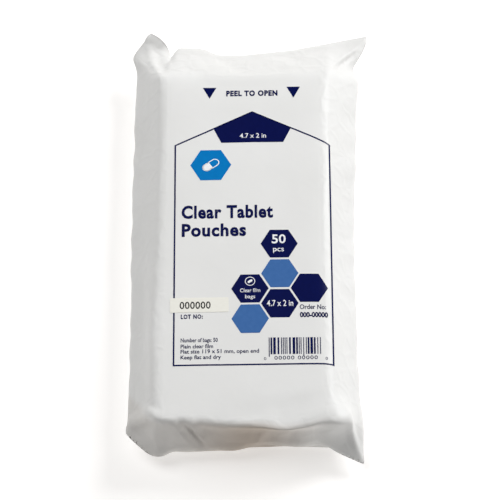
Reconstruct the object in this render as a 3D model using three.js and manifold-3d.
// A flat pillow pack of fifty single-use pouches for crushing tablets in.
// Sizes are millimetres. The pack lies on its back: +Z is up through the printed face, +Y points
// to the end that peels open, and the origin is the middle of the footprint.
import * as THREE from "three";
import { mergeVertices } from "three/addons/utils/BufferGeometryUtils.js";
import Module from "manifold-3d";

const wasm = await Module();
wasm.setup();

// Pouches: flat clear bags, 4.7 by 2 inches, lying one on another.
const POUCH_COUNT = 50;
const POUCH_LENGTH = 119.4;
const POUCH_WIDTH = 50.8;
const POUCH_THICKNESS = 0.25;
const POUCH_AIR = 0.11;
const POUCH_CORNER = 2;
const CORNER_STEPS = 2;

// Wrapper: one web of film, folded at both sides and sealed across both ends.
const FILM = 0.25;
const CLEARANCE = 0.3;
const SIDE_EASE = 1.3;
const SIDE_SLOPE = 9;
const FOLD_HEIGHT = 8;
const SEAL_WIDTH = 2;
const HEAD_EASE = 5.6;
const HEAD_SLOPE = 13.4;
const TOP_EAR_LENGTH = 5;
const TOP_EAR_FLARE = 3.5;
const BOTTOM_EAR_LENGTH = 6;
const BOTTOM_EAR_FLARE = 1;

// Peel flap: the front web of the open end, folding along a line behind the crest.
const HINGE_SETBACK = 11;

// Lot sticker, on the printed face.
const STICKER_LENGTH = 18.2;
const STICKER_HEIGHT = 5.2;
const STICKER_THICKNESS = 0.2;
const STICKER_CENTRE = [-14.2, -28.6];

// Stack and wrapper heights.
const POUCH_PITCH = POUCH_THICKNESS + POUCH_AIR;
const STACK_BASE = FILM + CLEARANCE;
const STACK_HEIGHT = POUCH_COUNT * POUCH_THICKNESS + (POUCH_COUNT - 1) * POUCH_AIR;
const PACK_HEIGHT = STACK_BASE + STACK_HEIGHT + CLEARANCE + FILM;
const WEB_HALF = FILM + CLEARANCE / 2; // half of a seal: one web and half the gap between the webs

// Places across the pack, from the middle outwards.
const CREASE_X = POUCH_WIDTH / 2 + CLEARANCE + SIDE_EASE;
const BODY_X = CREASE_X + SIDE_SLOPE;
const EAR_X = BODY_X + TOP_EAR_FLARE;

// Places along the pack, from the tips of the bottom ears to the tips of the top ears.
const HEAD_LENGTH = HEAD_EASE + HEAD_SLOPE + SEAL_WIDTH + TOP_EAR_LENGTH;
const TAIL_LENGTH = BOTTOM_EAR_LENGTH + SEAL_WIDTH + FILM + CLEARANCE;
const PACK_LENGTH = TAIL_LENGTH + POUCH_LENGTH + HEAD_LENGTH;
const BOTTOM_TIP_Y = -PACK_LENGTH / 2;
const BOTTOM_SEAL_Y = BOTTOM_TIP_Y + BOTTOM_EAR_LENGTH;
const END_WALL_Y = BOTTOM_SEAL_Y + SEAL_WIDTH;
const STACK_Y = END_WALL_Y + FILM + CLEARANCE;
const CREST_Y = STACK_Y + POUCH_LENGTH + HEAD_EASE;
const HINGE_Y = CREST_Y - HINGE_SETBACK;
const TOP_ROOT_Y = CREST_Y + HEAD_SLOPE;
const TOP_SEAL_Y = TOP_ROOT_Y + SEAL_WIDTH;
const TOP_TIP_Y = TOP_SEAL_Y + TOP_EAR_LENGTH;

// The front slope of the open end, and the ridge where it meets the slope of each side.
const FRONT_DROP = PACK_HEIGHT - FOLD_HEIGHT - WEB_HALF;
const BACK_RISE = FOLD_HEIGHT - WEB_HALF;
const SIDE_DROP_AT_BODY = ((PACK_HEIGHT - FOLD_HEIGHT) * SIDE_SLOPE) / (EAR_X - CREASE_X);
const WAIST_Y = CREST_Y + (SIDE_DROP_AT_BODY * HEAD_SLOPE) / FRONT_DROP;
const BEYOND = 10; // how far a cutting prism runs past what it cuts

const film = new THREE.MeshStandardMaterial({ color: "#eff0f1", roughness: 0.4, metalness: 0 });
const clear = new THREE.MeshStandardMaterial({
  color: "#dfe6e8",
  roughness: 0.2,
  metalness: 0,
  transparent: true,
  opacity: 0.35,
});
const paper = new THREE.MeshStandardMaterial({ color: "#ddd9c6", roughness: 0.6, metalness: 0 });

// A three.js geometry as a solid for cutting and joining.
function solid(geometry) {
  const bare = geometry.clone();
  bare.deleteAttribute("normal");
  bare.deleteAttribute("uv");
  const merged = mergeVertices(bare, 1e-4);
  const vertProperties = merged.attributes.position.array;
  const triVerts = new Uint32Array(merged.index.array);
  return new wasm.Manifold(new wasm.Mesh({ numProp: 3, vertProperties, triVerts }));
}

// A solid back as a three.js geometry.
function geometryOf(made) {
  const { vertProperties, triVerts } = made.getMesh();
  const geometry = new THREE.BufferGeometry();
  geometry.setAttribute("position", new THREE.BufferAttribute(vertProperties, 3));
  geometry.setIndex(new THREE.BufferAttribute(triVerts, 1));
  geometry.computeVertexNormals();
  return geometry;
}

// An outline of [u, v] points, extruded both ways from the middle by half of depth.
function slab(points, depth) {
  const shape = new THREE.Shape(points.map(([u, v]) => new THREE.Vector2(u, v)));
  const geometry = new THREE.ExtrudeGeometry(shape, { depth, bevelEnabled: false });
  return geometry.translate(0, 0, -depth / 2);
}

// A side view [y, z] run across X, a section [x, z] run along Y, and a plan [x, y] run up Z.
function acrossX(points) {
  const turned = slab(points, 2 * (EAR_X + BEYOND)).rotateX(Math.PI / 2);
  return turned.rotateZ(Math.PI / 2);
}

function alongY(points) {
  return slab(points, PACK_LENGTH + 2 * BEYOND).rotateX(Math.PI / 2);
}

function upZ(points, low, high) {
  return slab(points, high - low).translate(0, 0, (low + high) / 2);
}

// Right-hand [x, y] points, from bottom to top, joined to their mirror images.
function mirrored(points) {
  const left = points.map(([x, y]) => [-x, y]).reverse();
  return [...points, ...left.filter(([x]) => x !== 0)];
}

// How far a line moves along its run when it is offset sideways by a wall.
function offsetShift(wall, rise, run) {
  return (wall * Math.hypot(rise, run)) / rise;
}

// The wrapper's outside: what its side view, its section and its plan all hold.
function wrapperOutside() {
  const side = acrossX([
    [END_WALL_Y, 0],
    [CREST_Y, 0],
    [TOP_ROOT_Y, FOLD_HEIGHT - WEB_HALF],
    [TOP_TIP_Y, FOLD_HEIGHT - WEB_HALF],
    [TOP_TIP_Y, FOLD_HEIGHT + WEB_HALF],
    [TOP_ROOT_Y, FOLD_HEIGHT + WEB_HALF],
    [CREST_Y, PACK_HEIGHT],
    [END_WALL_Y, PACK_HEIGHT],
    [END_WALL_Y, FOLD_HEIGHT + WEB_HALF],
    [BOTTOM_TIP_Y, FOLD_HEIGHT + WEB_HALF],
    [BOTTOM_TIP_Y, FOLD_HEIGHT - WEB_HALF],
    [END_WALL_Y, FOLD_HEIGHT - WEB_HALF],
  ]);
  const section = alongY([
    [-CREASE_X, 0],
    [CREASE_X, 0],
    [EAR_X, FOLD_HEIGHT - WEB_HALF],
    [EAR_X, FOLD_HEIGHT + WEB_HALF],
    [CREASE_X, PACK_HEIGHT],
    [-CREASE_X, PACK_HEIGHT],
    [-EAR_X, FOLD_HEIGHT + WEB_HALF],
    [-EAR_X, FOLD_HEIGHT - WEB_HALF],
  ]);
  const plan = upZ(
    mirrored([
      [0, BOTTOM_SEAL_Y],
      [BODY_X + BOTTOM_EAR_FLARE, BOTTOM_TIP_Y],
      [BODY_X, END_WALL_Y],
      [BODY_X, WAIST_Y],
      [EAR_X, TOP_TIP_Y],
      [0, TOP_SEAL_Y],
    ]),
    -BEYOND,
    PACK_HEIGHT + BEYOND,
  );
  return solid(side).intersect(solid(section)).intersect(solid(plan));
}

// The hollow that holds the stack, one film thickness inside, ending where the two webs meet.
function wrapperHollow() {
  const frontShift = offsetShift(FILM, FRONT_DROP, HEAD_SLOPE);
  const backShift = offsetShift(FILM, BACK_RISE, HEAD_SLOPE);
  const frontRun = HEAD_SLOPE / FRONT_DROP;
  const backRun = HEAD_SLOPE / BACK_RISE;
  const side = acrossX([
    [END_WALL_Y + FILM, FILM],
    [CREST_Y - backShift + FILM * backRun, FILM],
    [TOP_ROOT_Y - backShift + FILM * backRun, FOLD_HEIGHT - CLEARANCE / 2],
    [TOP_ROOT_Y - frontShift + FILM * frontRun, FOLD_HEIGHT + CLEARANCE / 2],
    [CREST_Y - frontShift + FILM * frontRun, PACK_HEIGHT - FILM],
    [END_WALL_Y + FILM, PACK_HEIGHT - FILM],
  ]);
  const sideRun = EAR_X - CREASE_X;
  const upperShift = offsetShift(FILM, FRONT_DROP, sideRun);
  const lowerShift = offsetShift(FILM, BACK_RISE, sideRun);
  const upperCrease = CREASE_X - upperShift + (FILM * sideRun) / FRONT_DROP;
  const lowerCrease = CREASE_X - lowerShift + (FILM * sideRun) / BACK_RISE;
  const section = alongY([
    [-lowerCrease, FILM],
    [lowerCrease, FILM],
    [lowerCrease + sideRun, FOLD_HEIGHT - CLEARANCE / 2],
    [upperCrease + sideRun, FOLD_HEIGHT + CLEARANCE / 2],
    [upperCrease, PACK_HEIGHT - FILM],
    [-upperCrease, PACK_HEIGHT - FILM],
    [-upperCrease - sideRun, FOLD_HEIGHT + CLEARANCE / 2],
    [-lowerCrease - sideRun, FOLD_HEIGHT - CLEARANCE / 2],
  ]);
  const plan = upZ(
    mirrored([
      [BODY_X - FILM, END_WALL_Y],
      [BODY_X - FILM, WAIST_Y],
      [EAR_X - FILM, TOP_TIP_Y],
    ]),
    -BEYOND,
    PACK_HEIGHT + BEYOND,
  );
  return solid(side).intersect(solid(section)).intersect(solid(plan));
}

// The plan of the flap, grown outwards by a margin: hinge line, creases, ridges and ears.
function flapOutline(margin) {
  return mirrored([
    [CREASE_X + margin, HINGE_Y - margin],
    [CREASE_X + margin, CREST_Y - margin],
    [BODY_X + margin, WAIST_Y - margin],
    [EAR_X + BEYOND, WAIST_Y - margin],
    [EAR_X + BEYOND, TOP_TIP_Y + BEYOND],
  ]);
}

function wrapper() {
  const shell = wrapperOutside().subtract(wrapperHollow());
  const top = PACK_HEIGHT + BEYOND;
  const flapSpace = solid(upZ(flapOutline(0), FOLD_HEIGHT + CLEARANCE / 2, top));
  const cutSpace = solid(upZ(flapOutline(CLEARANCE), FOLD_HEIGHT - CLEARANCE / 2, top));
  return { sleeve: shell.subtract(cutSpace), flap: shell.intersect(flapSpace) };
}

// One pouch lying flat: a thin plate with rounded corners, its lower face on its own z = 0.
function pouchGeometry() {
  const x = POUCH_WIDTH / 2;
  const y = POUCH_LENGTH / 2;
  const r = POUCH_CORNER;
  const outline = new THREE.Shape();
  outline.absarc(x - r, y - r, r, 0, Math.PI / 2);
  outline.absarc(r - x, y - r, r, Math.PI / 2, Math.PI);
  outline.absarc(r - x, r - y, r, Math.PI, 1.5 * Math.PI);
  outline.absarc(x - r, r - y, r, 1.5 * Math.PI, 2 * Math.PI);
  return new THREE.ExtrudeGeometry(outline, {
    depth: POUCH_THICKNESS,
    bevelEnabled: false,
    curveSegments: CORNER_STEPS,
  });
}

function named(name, geometry, material) {
  const mesh = new THREE.Mesh(geometry, material);
  mesh.name = name;
  return mesh;
}

const pack = new THREE.Group();

const { sleeve, flap } = wrapper();
pack.add(named("film_sleeve", geometryOf(sleeve), film));
pack.add(named("peel_flap", geometryOf(flap), film));

const stack = new THREE.Group();
stack.position.set(0, STACK_Y + POUCH_LENGTH / 2, STACK_BASE);
for (let i = 0; i < POUCH_COUNT; i += 1) {
  const number = String(i + 1).padStart(2, "0");
  const pouch = named(`pouch_${number}`, pouchGeometry(), clear);
  pouch.position.z = i * POUCH_PITCH;
  stack.add(pouch);
}
pack.add(stack);

const sticker = new THREE.BoxGeometry(STICKER_LENGTH, STICKER_HEIGHT, STICKER_THICKNESS);
const lotSticker = named("lot_sticker", sticker, paper);
lotSticker.position.set(...STICKER_CENTRE, PACK_HEIGHT + CLEARANCE + STICKER_THICKNESS / 2);
pack.add(lotSticker);

export default pack;
